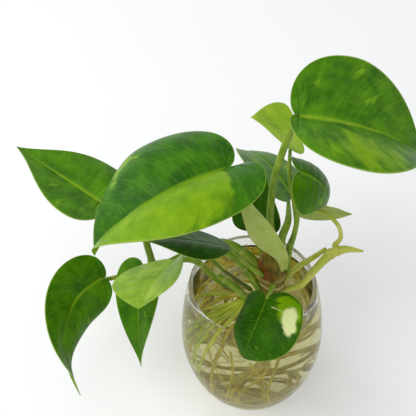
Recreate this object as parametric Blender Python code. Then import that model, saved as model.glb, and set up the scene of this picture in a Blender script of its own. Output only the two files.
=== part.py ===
# Golden pothos cutting rooted in a round-bellied glass jar of water.
# Metres, +Z up. The origin is the centre of the jar's foot; the jar's axis is Z.
# Every leaf is one curved sheet of tissue with a thickness, every stem and root a round tube.

import bpy
import bmesh
import numpy as np
from math import acos, cos, pi, radians, sin
from mathutils import Vector

GAP = 0.0004

JAR_FOOT_RADIUS = 0.0235
JAR_BELLY_RADIUS = 0.046
JAR_BELLY_HEIGHT = 0.0534
JAR_RIM_RADIUS = 0.0402
JAR_HEIGHT = 0.105
JAR_WALL = 0.0024
JAR_BASE_THICKNESS = 0.005
JAR_LOWER_ROUNDNESS = 1.65
JAR_SEGMENTS = 40
WATER_LEVEL = 0.093

LEAF_THICKNESS = 0.0008
SHEATH_THICKNESS = 0.0016

LEAF_GREEN = (0.09, 0.22, 0.02)
LEAF_LIME = (0.30, 0.45, 0.03)
LEAF_DARK = (0.03, 0.12, 0.01)
STEM_GREEN = (0.24, 0.34, 0.05)
STEM_BROWN = (0.14, 0.12, 0.03)
STEM_PALE = (0.55, 0.55, 0.22)
ROOT_OLIVE = (0.30, 0.27, 0.08)

# Leaves. Lengths in metres, angles in degrees.
# base: where the stalk meets the leaf, at the bottom of the heart's notch
# heading and turn: compass direction of the midrib (0 = +X, 90 = +Y) and how far it turns by the tip
# rise and droop: the midrib's slope at the base and how far it falls by the tip
# bank and twist: roll about the midrib at the base (right side up is positive) and its change by the tip
# fold and curl: (right, left) upward fold of each half at the midrib and bend of each half towards its edge
# lobe: depth of the heart's notch, belly: place of the widest part, acum: fullness near the tip
LEAVES = {
    "leaf_main": dict(base=(-0.015, 0.005, 0.210), length=0.102, width=0.099, heading=211, turn=-16,
                      rise=13, droop=82, bank=-10, twist=-11, fold=(37, 44), curl=(-72, -85),
                      lobe=0.13, belly=0.32, acum=0.31, colour=LEAF_GREEN),
    "leaf_upper_right": dict(base=(0.025, 0.030, 0.225), length=0.094, width=0.099, heading=-5, turn=7,
                             rise=-5, droop=49, bank=10, twist=-5, fold=(24, 19), curl=(-33, 0),
                             lobe=0.083, belly=0.36, acum=0.05, colour=LEAF_GREEN),
    "leaf_upper_small": dict(base=(0.025, 0.053, 0.188), length=0.041, width=0.037, heading=205, turn=6,
                             rise=40, droop=-9, bank=17, twist=-7, fold=(9, 8), curl=(5, 0),
                             lobe=0.12, belly=0.10, acum=0.19, colour=LEAF_LIME),
    "leaf_far_left": dict(base=(-0.094, 0.030, 0.152), length=0.067, width=0.061, heading=146, turn=-3,
                          rise=11, droop=5, bank=-4, twist=-8, fold=(19, 20), curl=(-44, -5),
                          lobe=0.15, belly=0.14, acum=0.16, colour=LEAF_GREEN),
    "leaf_low_left": dict(base=(-0.094, 0.005, 0.108), length=0.088, width=0.048, heading=211, turn=104,
                          rise=3, droop=65, bank=42, twist=20, fold=(24, 2), curl=(-32, -45),
                          lobe=0.05, belly=0.25, acum=0.04, colour=LEAF_GREEN),
    "leaf_low_pointed": dict(base=(-0.069, 0.008, 0.111), length=0.066, width=0.035, heading=252, turn=29,
                             rise=-43, droop=26, bank=-21, twist=-23, fold=(11, 16), curl=(4, -12),
                             lobe=0.12, belly=0.13, acum=0.05, colour=LEAF_GREEN),
    "leaf_low_small": dict(base=(-0.050, -0.005, 0.135), length=0.043, width=0.060, heading=229, turn=26,
                           rise=2, droop=-7, bank=-45, twist=28, fold=(5, 14), curl=(8, 8),
                           lobe=0.10, belly=0.36, acum=0.50, colour=LEAF_LIME),
    "leaf_under_main": dict(base=(-0.015, -0.006, 0.149), length=0.065, width=0.044, heading=169, turn=40,
                            rise=15, droop=-9, bank=-44, twist=25, fold=(2, 10), curl=(8, -52),
                            lobe=0.03, belly=0.28, acum=0.14, colour=LEAF_DARK),
    "leaf_front": dict(base=(0.007, -0.028, 0.127), length=0.042, width=0.057, heading=250, turn=-25,
                       rise=-9, droop=73, bank=-17, twist=12, fold=(2, 6), curl=(-75, -33),
                       lobe=0.2, belly=0.35, acum=0.5, colour=LEAF_DARK),
    "leaf_right": dict(base=(0.028, 0.020, 0.188), length=0.037, width=0.051, heading=-2, turn=-7,
                       rise=-26, droop=79, bank=-2, twist=-14, fold=(0, 0), curl=(-35, -65),
                       lobe=0.157, belly=0.20, acum=0.25, colour=LEAF_DARK),
    "leaf_right_under": dict(base=(0.038, 0.032, 0.142), length=0.026, width=0.036, heading=2, turn=-29,
                             rise=-23, droop=-43, bank=62, twist=2, fold=(1, -3), curl=(-16, -25),
                             lobe=0.21, belly=0.13, acum=0.25, colour=LEAF_LIME),
    "leaf_back_top": dict(base=(0.0245, 0.045, 0.1395), length=0.069, width=0.049, heading=116, turn=11,
                          rise=14, droop=73, bank=-29, twist=5, fold=(2, 9), curl=(-19, -3),
                          lobe=0.12, belly=0.17, acum=0.22, colour=LEAF_LIME),
    "leaf_back_centre": dict(base=(0.003, 0.025, 0.131), length=0.042, width=0.032, heading=80, turn=-20,
                             rise=78, droop=22, bank=0, twist=0, fold=(14, 10), curl=(0, -10),
                             lobe=0.1, belly=0.17, acum=0.18, colour=LEAF_DARK),
}


def clear_scene():
    for item in list(bpy.data.objects):
        bpy.data.objects.remove(item, do_unlink=True)


def principled(name, colour, roughness=0.4, metallic=0.0):
    material = bpy.data.materials.new(name)
    material.use_nodes = True
    shader = material.node_tree.nodes["Principled BSDF"]
    shader.inputs["Base Color"].default_value = (*colour, 1.0)
    shader.inputs["Roughness"].default_value = roughness
    shader.inputs["Metallic"].default_value = metallic
    return material


def add_object(name, data, material):
    item = bpy.data.objects.new(name, data)
    bpy.context.scene.collection.objects.link(item)
    item.data.materials.append(material)
    return item


def cubic(a, b, c, d, t):
    """Point of a cubic Bezier curve for every value in t."""
    t = t[:, None]
    return (1 - t) ** 3 * np.array(a) + 3 * (1 - t) ** 2 * t * np.array(b) + 3 * (1 - t) * t ** 2 * np.array(c) + t ** 3 * np.array(d)


def leaf_outline(leaf, t):
    """Half of the heart in leaf units: x in half widths, y in lengths, from the notch (t=0) to the tip (t=1)."""
    split = 0.4
    lobe, belly, acum = leaf["lobe"], leaf["belly"], leaf["acum"]
    low = cubic((0, 0), (0.04, -1.35 * lobe), (1, -1.25 * lobe), (1, belly), np.clip(t / split, 0, 1))
    high = cubic((1, belly), (1, belly + 0.34), (acum, 0.80), (0, 1), np.clip((t - split) / (1 - split), 0, 1))
    return np.where((t < split)[:, None], low, high)


def leaf_points(leaf, x, y):
    """Bends the flat leaf (x in half widths, y in lengths) along its drooping, turning midrib."""
    steps = np.linspace(0, 1, 61)
    turn = np.radians(leaf["turn"] * steps)
    slope = np.radians(leaf["rise"] - leaf["droop"] * steps ** 1.3)
    along = np.stack([np.cos(slope) * np.cos(turn), np.cos(slope) * np.sin(turn), np.sin(slope)], -1)
    middle = (along[1:] + along[:-1]) * leaf["length"] / 120
    centre = np.vstack([np.zeros(3), np.cumsum(middle, 0)])
    inside = np.clip(y, 0, 1)
    spine = np.stack([np.interp(inside, steps, centre[:, axis]) for axis in range(3)], -1)
    spine = spine + np.minimum(y, 0)[:, None] * leaf["length"] * along[0]
    turn = np.radians(leaf["turn"] * inside)
    slope = np.radians(leaf["rise"] - leaf["droop"] * inside ** 1.3)
    forward = np.stack([np.cos(slope) * np.cos(turn), np.cos(slope) * np.sin(turn), np.sin(slope)], -1)
    level = np.stack([np.sin(turn), -np.cos(turn), 0 * turn], -1)
    up = np.cross(level, forward)
    roll = np.radians(leaf["bank"] + leaf["twist"] * inside)[:, None]
    side = level * np.cos(roll) + up * np.sin(roll)
    lift = up * np.cos(roll) - level * np.sin(roll)
    fold = np.radians(np.where(x >= 0, *leaf["fold"]))
    curl = np.radians(np.where(x >= 0, *leaf["curl"]))
    curl = np.where(np.abs(curl) < 0.001, 0.001, curl)
    half = leaf["width"] / 2
    reach = np.abs(x)
    out = half / curl * (np.sin(fold + curl * reach) - np.sin(fold))
    rise = half / curl * (np.cos(fold) - np.cos(fold + curl * reach))
    return spine + side * (np.sign(x) * out)[:, None] + lift * rise[:, None]


def add_leaf(name, leaf):
    """One leaf: a grid of veins between midrib and edge on each side, thickened into a sheet."""
    t = np.linspace(0, 1, 12)
    across = np.array([0, 0.45, 0.8, 1.0])
    edge = leaf_outline(leaf, t)
    root = np.clip((t - 0.25) / 0.75, 0, 1) ** 1.3
    mesh = bmesh.new()
    for hand in (1, -1):
        rows = []
        for r in across:
            x = 2 * r * (1 - r) * 0.62 * edge[:, 0] + r ** 2 * edge[:, 0]
            bend = root + 0.25 * (edge[:, 1] - root)
            y = (1 - r) ** 2 * root + 2 * r * (1 - r) * bend + r ** 2 * edge[:, 1]
            points = leaf_points(leaf, np.maximum(x, 1e-6) * hand, y)
            rows.append([mesh.verts.new(point) for point in points])
        for low, high in zip(rows, rows[1:]):
            for k in range(len(t) - 1):
                ring = [low[k], high[k], high[k + 1], low[k + 1]]
                mesh.faces.new(ring if hand > 0 else ring[::-1])
    bmesh.ops.remove_doubles(mesh, verts=mesh.verts, dist=0.0002)
    bmesh.ops.recalc_face_normals(mesh, faces=mesh.faces)
    data = bpy.data.meshes.new(name)
    mesh.to_mesh(data)
    mesh.free()
    item = add_object(name, data, principled(name, leaf["colour"], 0.35))
    item.location = leaf["base"]
    item.rotation_euler = (0, 0, radians(leaf["heading"]))
    skin = item.modifiers.new("thickness", "SOLIDIFY")
    skin.thickness = LEAF_THICKNESS
    skin.offset = 0
    return item


def smooth_path(knots, count):
    """Even steps along a Catmull-Rom curve through the knots; a knot is (x, y, z, radius) in millimetres."""
    knots = np.array(knots, float) / 1000
    padded = np.vstack([2 * knots[0] - knots[1], knots, 2 * knots[-1] - knots[-2]])
    fine = []
    for k in range(1, len(padded) - 2):
        a, b, c, d = padded[k - 1:k + 3]
        u = np.linspace(0, 1, 24, endpoint=False)[:, None]
        fine.append(0.5 * (2 * b + (c - a) * u + (2 * a - 5 * b + 4 * c - d) * u ** 2 + (3 * b - a - 3 * c + d) * u ** 3))
    fine = np.vstack([*fine, knots[-1:]])
    length = np.concatenate([[0], np.cumsum(np.linalg.norm(np.diff(fine[:, :3], axis=0), axis=1))])
    even = np.linspace(0, length[-1], count)
    return np.stack([np.interp(even, length, fine[:, axis]) for axis in range(4)], -1)


def tube_curve(name, path, grow=0.0, sides=1):
    """A round tube with flat ends along a path; sides=0 gives four faces round, 1 six, 2 eight."""
    curve = bpy.data.curves.new(name, "CURVE")
    curve.dimensions = "3D"
    curve.bevel_depth = 1.0
    curve.bevel_resolution = sides
    curve.use_fill_caps = True
    spline = curve.splines.new("POLY")
    spline.points.add(len(path) - 1)
    for point, (x, y, z, radius) in zip(spline.points, path):
        point.co = (x, y, z, 1)
        point.radius = radius + grow
    return curve


# Stems and leaf stalks: (x, y, z, radius) in millimetres along each one, from the thick end out.
STEMS = {
    "old_stem": dict(knots=[(7, 4, 46, 4.0), (10, 2.5, 70, 5.6), (12, 2, 95, 7.0), (12.5, 4, 108, 8.0),
                            (12, 6, 119, 8.0), (12, 6.5, 128, 6.0)], count=14, colour=STEM_BROWN),
    "stalk_upper_right": dict(knots=[(13, 11, 134, 2.6), (11, 11.5, 144, 2.4), (10.5, 15, 160, 2.3),
                                     (12.5, 21, 180, 2.2), (16.5, 26, 196, 2.2), (21, 30, 210, 2.2),
                                     (24.2, 30.2, 222, 1.2)], count=13, colour=STEM_GREEN),
    "stalk_upper_small": dict(knots=[(22.5, 14, 124, 1.6), (27, 18, 139, 1.5), (25.5, 22, 156, 1.4), (22.5, 31, 174, 1.3),
                                     (24, 51.4, 185, 0.9)],
                              count=12, colour=STEM_GREEN),
    "stalk_back_top": dict(knots=[(16.5, 4, 131, 2.6), (18, 9, 141, 2.5), (22, 20, 143, 2.2), (23.6, 40.8, 137.6, 1.1)],
                           count=11, colour=STEM_GREEN),
    "stalk_back_centre": dict(knots=[(6.5, 14.6, 118, 1.8), (4, 20, 123, 1.5), (3, 24, 127.6, 1)],
                              count=5, colour=STEM_GREEN),
    "stalk_right": dict(knots=[(22, 8, 114, 1.8), (23, 9.5, 126, 1.7), (25.5, 12, 139, 1.7), (27, 14, 152, 1.6),
                               (27.5, 18, 170, 1.5), (27.6, 19.6, 185.5, 1.0)], count=11, colour=STEM_GREEN),
    "stalk_right_under": dict(knots=[(51.5, 9, 132.8, 1.6), (54, 9, 139, 1.4), (52.5, 13, 145.5, 1.3), (46, 22, 146, 1.2),
                                     (39, 29.6, 141, 0.8)],
                              count=12, colour=STEM_PALE),
    "side_shoot": dict(knots=[(20.6, 1, 97, 2.2), (30, 0, 103, 2.3), (37, 2, 112.5, 2.4), (43, 4, 121, 2.7),
                              (49, 6, 127.5, 3.2), (57, 6, 131, 2.4), (67.5, 6, 129, 0.8)],
                       count=14, colour=STEM_PALE),
    "side_twig": dict(knots=[(21.4, 7, 102, 1.9), (29, 10, 108.5, 1.9), (38, 12, 115, 1.8), (44, 9.5, 125.5, 1.4)],
                      count=9, colour=STEM_PALE),
    "shoot_left": dict(knots=[(2.8, 8, 116, 2.6), (-5, 12, 122, 2.5), (-15, 18, 124, 2.2), (-28, 23, 121, 1.2)],
                       count=10, colour=STEM_GREEN),
    "shoot_low": dict(knots=[(2.9, 4.5, 98, 2.6), (-2.5, 7, 108, 2.6), (-8, 11, 114, 2.4), (-16, 16, 117, 2.1)],
                      count=9, colour=STEM_GREEN),
    "shoot_water": dict(knots=[(2.6, -0.5, 86, 2.6), (-4.5, -2.5, 95, 2.6), (-12, -1, 104, 2.5), (-19, 1, 110, 2.1)],
                        count=9, colour=STEM_GREEN),
    "trailing_stem": dict(knots=[(2.2, 5, 74, 1.9), (-10, 8, 84, 1.9), (-25.5, 12, 99, 1.9), (-35, 15.5, 108.7, 1.9),
                                 (-46, 16.5, 109.5, 1.8), (-65, 17, 99.5, 1.8), (-80, 15, 96.5, 1.8), (-90, 9, 101.5, 1.4)],
                          count=20, colour=STEM_GREEN),
    "trailing_twig": dict(knots=[(-6, 15, 82, 1.3), (-20, 21, 95, 1.3), (-31, 23.4, 108, 1.3), (-42, 23.5, 108, 1.2),
                                 (-56, 22.5, 100, 0.9)],
                          count=12, colour=STEM_GREEN),
    "stalk_far_left": dict(knots=[(-64, 21, 102.6, 2.4), (-65.5, 22, 113, 2.3), (-70, 25, 133, 2.1), (-82, 28, 145, 1.8),
                                  (-92, 29.6, 150.2, 1.2)],
                           count=12, colour=STEM_GREEN),
    "stalk_low_pointed": dict(knots=[(-67.3, 14, 102, 1.3), (-68, 12, 105.5, 1.1), (-69.4, 9.6, 109, 0.8)],
                              count=5, colour=STEM_GREEN),
    "stalk_low_small": dict(knots=[(-46, 13, 112.4, 1.4), (-46, 6, 121, 1.3), (-49, -3.4, 132.4, 0.9)],
                            count=7, colour=STEM_GREEN),
    "stalk_under_main": dict(knots=[(3.6, -1, 118, 1.8), (-5, -4, 132, 1.7), (-13.2, -6, 146.8, 1.1)],
                             count=9, colour=STEM_GREEN),
    "stalk_front": dict(knots=[(12, -6.8, 112, 1.8), (11.5, -14, 120, 1.6), (8, -25.8, 126.4, 1.1)],
                        count=7, colour=STEM_GREEN),
}

ROOTS = {
    "root_left_wall": [(3.0, 1, 60, 1.9), (-14, -4, 64, 1.8), (-31, -8, 59, 1.7), (-35.5, -11, 44, 1.6),
                       (-29, -15, 26, 1.5), (-16, -21, 13.5, 1.4), (2, -24, 11.5, 1.1)],
    "root_back_left": [(2.6, 7.4, 54, 1.7), (-10, 18, 58, 1.6), (-25, 24, 50, 1.5), (-28, 20, 32, 1.4),
                       (-19, 14, 17, 1.3), (-9, 8, 12, 1.0)],
    "root_right_wall": [(15.4, 3, 62, 1.8), (28, 4, 60, 1.7), (36.5, 2, 47, 1.6), (33.5, -6, 31, 1.5),
                        (23, -14, 20, 1.3), (10, -18, 16.5, 1.0)],
    "root_front": [(9, -3, 56, 1.7), (5, -16, 54, 1.6), (-7, -28, 44, 1.5), (-14, -28.5, 31, 1.4),
                   (-11, -21, 21.5, 1.2), (0, -13, 18.5, 1.0)],
    "root_back_right": [(10.4, 8.4, 48, 1.6), (18, 20, 44, 1.5), (22, 24, 32, 1.4), (13, 22, 18, 1.3),
                        (-3, 19, 13, 1.0)],
    "root_middle": [(5.4, 3, 43.2, 2.2), (1, 1, 34, 1.9), (-6, -3, 27, 1.6), (-2, -6, 20, 1.3), (8, -4, 15, 1.0)],
    "root_upper_left": [(-6, 1.2, 91, 1.6), (-17, 3, 86, 1.6), (-28, 0, 77, 1.5), (-35, 4, 62, 1.4), (-37, 8, 48, 1.2)],
}

COIL_RADIUS = 0.0205
COIL_TURN = 300
COIL_HEIGHT = 0.0090


def coil_path():
    """A root that comes down from the stem and lies round the jar's bottom in one rising turn."""
    angles = np.radians(np.linspace(35, 35 - COIL_TURN, 24))
    fall = np.linspace(0, 1, 24)
    ring = np.stack([COIL_RADIUS * np.cos(angles), COIL_RADIUS * np.sin(angles) * 0.95,
                     COIL_HEIGHT + 0 * fall, 0.0015 - 0.0004 * fall], -1)
    drop = smooth_path([(9.5, 4.6, 43.4, 1.6), (19, 10, 36, 1.6), (21.5, 14, 22, 1.6), (19.2, 12.9, 11.6, 1.5)], 7)
    return np.vstack([drop, ring])


def jar_outer(z):
    if z <= JAR_BELLY_HEIGHT:
        t = 1 - z / JAR_BELLY_HEIGHT
        round_off = (1 - t ** JAR_LOWER_ROUNDNESS) ** (1 / JAR_LOWER_ROUNDNESS)
        return JAR_FOOT_RADIUS + (JAR_BELLY_RADIUS - JAR_FOOT_RADIUS) * round_off
    t = (z - JAR_BELLY_HEIGHT) / (JAR_HEIGHT - JAR_BELLY_HEIGHT)
    return JAR_BELLY_RADIUS - (JAR_BELLY_RADIUS - JAR_RIM_RADIUS) * t ** 2


def jar_inner(z):
    if z <= JAR_BELLY_HEIGHT:
        t = 1 - (z - JAR_BASE_THICKNESS) / (JAR_BELLY_HEIGHT - JAR_BASE_THICKNESS)
        round_off = (1 - t ** JAR_LOWER_ROUNDNESS) ** (1 / JAR_LOWER_ROUNDNESS)
        foot = JAR_FOOT_RADIUS - 0.0015
        return foot + (JAR_BELLY_RADIUS - JAR_WALL - foot) * round_off
    return jar_outer(z) - JAR_WALL


def turned(name, profile, material):
    """Turns a profile of (radius, height) round the Z axis; a radius of 0 closes on the axis."""
    mesh = bmesh.new()
    points = [mesh.verts.new((r, 0, z)) for r, z in profile]
    edges = [mesh.edges.new(pair) for pair in zip(points, points[1:])]
    bmesh.ops.spin(mesh, geom=points + edges, cent=(0, 0, 0), axis=(0, 0, 1), angle=2 * pi,
                   steps=JAR_SEGMENTS, use_merge=True)
    bmesh.ops.remove_doubles(mesh, verts=mesh.verts, dist=1e-6)
    bmesh.ops.recalc_face_normals(mesh, faces=mesh.faces)
    data = bpy.data.meshes.new(name)
    mesh.to_mesh(data)
    mesh.free()
    return add_object(name, data, material)


def add_jar():
    heights = [JAR_BELLY_HEIGHT * (1 - cos(k * pi / 14)) for k in range(1, 8)]
    upper = [JAR_BELLY_HEIGHT + (JAR_HEIGHT - 0.0012 - JAR_BELLY_HEIGHT) * k / 3 for k in range(1, 4)]
    outer = [(jar_outer(z), z) for z in [0.0, *heights, *upper]]
    depth = JAR_BELLY_HEIGHT - JAR_BASE_THICKNESS
    low = [JAR_BASE_THICKNESS + depth * (1 - cos(k * pi / 14)) for k in range(0, 8)]
    inner = [(jar_inner(z), z) for z in [*upper[::-1], *low[::-1]]]
    lip = [(JAR_RIM_RADIUS - 0.0006, JAR_HEIGHT), (JAR_RIM_RADIUS - JAR_WALL + 0.0006, JAR_HEIGHT)]
    profile = [(0, 0), *outer, *lip, *inner, (0, JAR_BASE_THICKNESS)]
    return turned("glass_jar", profile, principled("glass_jar", (0.85, 0.88, 0.85), 0.03))


def add_water(cutters):
    """Fills the jar up to the water level, with room left round everything that stands in it."""
    depth = JAR_BELLY_HEIGHT - JAR_BASE_THICKNESS
    low = [JAR_BASE_THICKNESS + depth * (1 - cos(k * pi / 14)) for k in range(0, 8)]
    upper = [JAR_BELLY_HEIGHT + (WATER_LEVEL - JAR_BELLY_HEIGHT) * k / 3 for k in range(1, 4)]
    wall = [(jar_inner(z) - 1.6 * GAP, z + (1.4 * GAP if z < 0.02 else 0)) for z in [*low, *upper]]
    profile = [(0, JAR_BASE_THICKNESS + GAP), *wall, (0, WATER_LEVEL)]
    water = turned("water", profile, principled("water", (0.75, 0.75, 0.5), 0.02))
    for cutter in cutters:
        cut = water.modifiers.new(cutter.name, "BOOLEAN")
        cut.object = cutter
        cut.operation = "DIFFERENCE"
        cut.solver = "EXACT"
    return water


def add_cutter(name, path, sides):
    """The same tube a little thicker, as a mesh, for cutting its room out of the water."""
    curve = tube_curve(name, path, GAP, sides)
    guide = bpy.data.objects.new(name, curve)
    bpy.context.scene.collection.objects.link(guide)
    bpy.context.view_layer.update()
    mesh = bpy.data.meshes.new_from_object(guide.evaluated_get(bpy.context.evaluated_depsgraph_get()))
    bpy.data.objects.remove(guide, do_unlink=True)
    weld = bmesh.new()
    weld.from_mesh(mesh)
    bmesh.ops.remove_doubles(weld, verts=weld.verts, dist=1e-6)
    bmesh.ops.recalc_face_normals(weld, faces=weld.faces)
    weld.to_mesh(mesh)
    weld.free()
    cutter = bpy.data.objects.new(name, mesh)
    bpy.context.scene.collection.objects.link(cutter)
    cutter.hide_render = True
    cutter.display_type = "WIRE"
    return cutter


def stretched(path, start, end):
    """The path made longer at its two ends, so that a cut reaches into the piece the tube grows from."""
    first = path[0].copy()
    first[:3] += (path[0][:3] - path[1][:3]) / np.linalg.norm(path[0][:3] - path[1][:3]) * start
    last = path[-1].copy()
    last[:3] += (path[-1][:3] - path[-2][:3]) / np.linalg.norm(path[-1][:3] - path[-2][:3]) * end
    return np.vstack([first, path[1:-1], last])


def add_sheath():
    """The main leaf's stalk: a strap with a hollowed face, broad where it wraps the stem."""
    knots = smooth_path([(17.5, -4.0, 124, 4.5), (11, -7, 150, 7.5), (1, -8.5, 173, 6.0), (-6.5, -4, 190, 3.0),
                         (-12.5, 4.5, 204, 1.6)], 13)
    centre, half = knots[:, :3], knots[:, 3]
    along = np.gradient(centre, axis=0)
    along /= np.linalg.norm(along, axis=1)[:, None]
    side = np.cross(along, (0.3, -0.9, 0.3))
    side /= np.linalg.norm(side, axis=1)[:, None]
    face = np.cross(side, along)
    mesh = bmesh.new()
    rows = []
    for u in (-1, -0.5, 0, 0.5, 1):
        points = centre + side * (u * half)[:, None] + face * (0.35 * u ** 2 * half)[:, None]
        rows.append([mesh.verts.new(point) for point in points])
    for low, high in zip(rows, rows[1:]):
        for k in range(len(centre) - 1):
            mesh.faces.new([low[k], high[k], high[k + 1], low[k + 1]])
    bmesh.ops.recalc_face_normals(mesh, faces=mesh.faces)
    data = bpy.data.meshes.new("stalk_main")
    mesh.to_mesh(data)
    mesh.free()
    item = add_object("stalk_main", data, principled("stalk_main", STEM_GREEN, 0.45))
    skin = item.modifiers.new("thickness", "SOLIDIFY")
    skin.thickness = SHEATH_THICKNESS
    skin.offset = 0
    return item


def build():
    clear_scene()
    add_jar()
    cutters = []
    for name, stem in STEMS.items():
        path = smooth_path(stem["knots"], stem["count"])
        add_object(name, tube_curve(name, path, 0.0, 2), principled(name, stem["colour"], 0.45))
        if path[:, 2].min() < WATER_LEVEL:
            reach = 0.0 if name == "old_stem" else 0.002
            cutters.append(add_cutter("room_" + name, stretched(path, reach + GAP, GAP), 2))
    for name, knots in ROOTS.items():
        path = smooth_path(knots, 18)
        add_object(name, tube_curve(name, path, 0.0, 1), principled(name, ROOT_OLIVE, 0.5))
        cutters.append(add_cutter("room_" + name, stretched(path, 0.003, GAP), 1))
    path = coil_path()
    add_object("root_coil", tube_curve("root_coil", path, 0.0, 1), principled("root_coil", ROOT_OLIVE, 0.5))
    cutters.append(add_cutter("room_root_coil", stretched(path, 0.003, GAP), 1))
    add_water(cutters)
    add_sheath()
    for name, leaf in LEAVES.items():
        add_leaf(name, leaf)


build()
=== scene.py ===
import bpy
import bmesh
import numpy as np
from mathutils import Matrix, Vector


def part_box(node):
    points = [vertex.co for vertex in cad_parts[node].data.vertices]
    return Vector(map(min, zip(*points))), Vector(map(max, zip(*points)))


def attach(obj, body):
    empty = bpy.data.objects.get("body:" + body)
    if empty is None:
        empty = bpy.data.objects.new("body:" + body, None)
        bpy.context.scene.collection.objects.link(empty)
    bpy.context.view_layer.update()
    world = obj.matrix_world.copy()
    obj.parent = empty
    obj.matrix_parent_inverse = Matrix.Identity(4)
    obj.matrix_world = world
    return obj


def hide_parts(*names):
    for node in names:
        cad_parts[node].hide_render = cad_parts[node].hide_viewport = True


# A golden pothos cutting that roots in a glass jar of water. Metres, +Z up, the jar stands on z = 0.

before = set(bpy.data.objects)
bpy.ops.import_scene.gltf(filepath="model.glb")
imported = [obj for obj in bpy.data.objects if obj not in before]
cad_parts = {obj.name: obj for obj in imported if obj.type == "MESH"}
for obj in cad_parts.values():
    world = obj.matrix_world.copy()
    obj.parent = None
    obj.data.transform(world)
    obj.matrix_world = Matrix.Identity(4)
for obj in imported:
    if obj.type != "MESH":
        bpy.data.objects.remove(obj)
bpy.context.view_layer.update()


# small helpers

def linearColour(hexText, alpha=1.0):
    # sRGB hex to the linear values that a shader socket holds.
    srgb = np.array([int(hexText[k:k + 2], 16) for k in (1, 3, 5)]) / 255
    linear = np.where(srgb <= 0.04045, srgb / 12.92, ((srgb + 0.055) / 1.055) ** 2.4)
    return (*linear.tolist(), alpha)


def feed(tree, node, inputs):
    # Sets a node's inputs: sockets are linked, hex text becomes a colour, and numbers are set as they are.
    for key, value in inputs.items():
        if isinstance(value, bpy.types.NodeSocket):
            tree.links.new(value, node.inputs[key])
        else:
            node.inputs[key].default_value = linearColour(value) if isinstance(value, str) else value


def addNode(tree, kind, inputs=None, output=0, **settings):
    # Adds a shader node with its settings and links, and returns one of its outputs.
    made = tree.nodes.new("ShaderNode" + kind)
    for key, value in settings.items():
        setattr(made, key, value)
    feed(tree, made, inputs or {})
    return made.outputs[output]


def newMaterial(name):
    material = bpy.data.materials.new(name)
    material.use_nodes = True
    return material, material.node_tree, material.node_tree.nodes["Principled BSDF"]


def ramp(value, over):
    # Rises evenly from 0 to 1 while the value goes from 0 to over.
    return np.clip(value / over, 0, 1)


def bell(offset, width):
    return np.exp(-(offset / width) ** 2)


def gridPiece(name, grid, materials, wrap=False, uv=None, values=None, thickness=None):
    # A surface from a grid of points (rows, columns, 3), or several such grids. wrap joins the last column
    # to the first; uv holds (rows, columns + wrap, 2) places; values holds a number for each point by
    # attribute name.
    grids = grid.reshape(-1, *grid.shape[-3:])
    count, rows, columns = grids.shape[:3]
    span = columns if wrap else columns - 1
    row, column = np.meshgrid(np.arange(rows - 1), np.arange(span), indexing="ij")
    following = (column + 1) % columns
    quads = np.stack([row * columns + column, row * columns + following,
        (row + 1) * columns + following, (row + 1) * columns + column], -1).reshape(-1, 4)
    quads = (quads + (np.arange(count) * rows * columns)[:, None, None]).reshape(-1, 4)
    mesh = bpy.data.meshes.new(name)
    mesh.from_pydata(grids.reshape(-1, 3).tolist(), [], quads.tolist())
    if uv is not None:
        corners = np.stack([uv[row, column], uv[row, column + 1], uv[row + 1, column + 1],
            uv[row + 1, column]], -2)
        mesh.uv_layers.new(name="surface").data.foreach_set("uv",
            np.tile(corners.reshape(-1), count).astype(np.float32))
    for key, field in (values or {}).items():
        mesh.attributes.new(key, "FLOAT", "POINT").data.foreach_set("value",
            np.tile(field.reshape(-1), count).astype(np.float32))
    weld = bmesh.new()
    weld.from_mesh(mesh)
    bmesh.ops.remove_doubles(weld, verts=weld.verts, dist=1e-6)
    if wrap:  # a closed shell; an open sheet keeps the order of its grid, which gives it its upper side
        bmesh.ops.recalc_face_normals(weld, faces=weld.faces)
    weld.to_mesh(mesh)
    weld.free()
    mesh.shade_smooth()
    piece = bpy.data.objects.new(name, mesh)
    bpy.context.scene.collection.objects.link(piece)
    for material in materials:
        mesh.materials.append(material)
    if thickness:
        skin = piece.modifiers.new("thickness", "SOLIDIFY")
        skin.thickness = thickness
        skin.offset = -1
        skin.material_offset = 1
        skin.use_even_offset = False
    return piece


def fitInto(points, node):
    # Centres the points on the CAD node's box, and shrinks them if they stand out of it.
    low, high = (np.array(corner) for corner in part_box(node))
    ownLow, ownHigh = points.reshape(-1, 3).min(0), points.reshape(-1, 3).max(0)
    scale = min(1.0, float(((high - low) / (ownHigh - ownLow)).min()))
    return (points - (ownLow + ownHigh) / 2) * scale + (low + high) / 2


# camera, light and floor

view = dict(aim=(-0.0273, 0, 0.1802), distance=0.8, elevation=50, roll=-1.06, lens=117.7)


def addCamera():
    tilt, roll = np.radians(view["elevation"]), np.radians(view["roll"])
    back = Vector((0, -np.cos(tilt), np.sin(tilt)))
    right = Vector((1, 0, 0))
    up = back.cross(right)
    columns = (right * np.cos(roll) + up * np.sin(roll), up * np.cos(roll) - right * np.sin(roll), back)
    data = bpy.data.cameras.new("camera")
    data.lens = view["lens"]
    data.clip_start = 0.02
    camera = bpy.data.objects.new("camera", data)
    place = Matrix.Translation(Vector(view["aim"]) + back * view["distance"])
    camera.matrix_world = place @ Matrix(columns).transposed().to_4x4()
    bpy.context.scene.collection.objects.link(camera)
    bpy.context.scene.camera = camera


studio = dict(
    sky="#f6f7fb", skyStrength=0.70,
    lamps=[dict(name="windowLeft", place=(-1.15, 0.35, 0.95), size=0.8, power=6),
        dict(name="topLeft", place=(-0.48, -0.40, 1.35), size=0.8, power=8),
        dict(name="backLeft", place=(-0.5, 1.4, 1.3), size=0.7, power=1.5)],
    floor="#f3f3f2")


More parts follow.
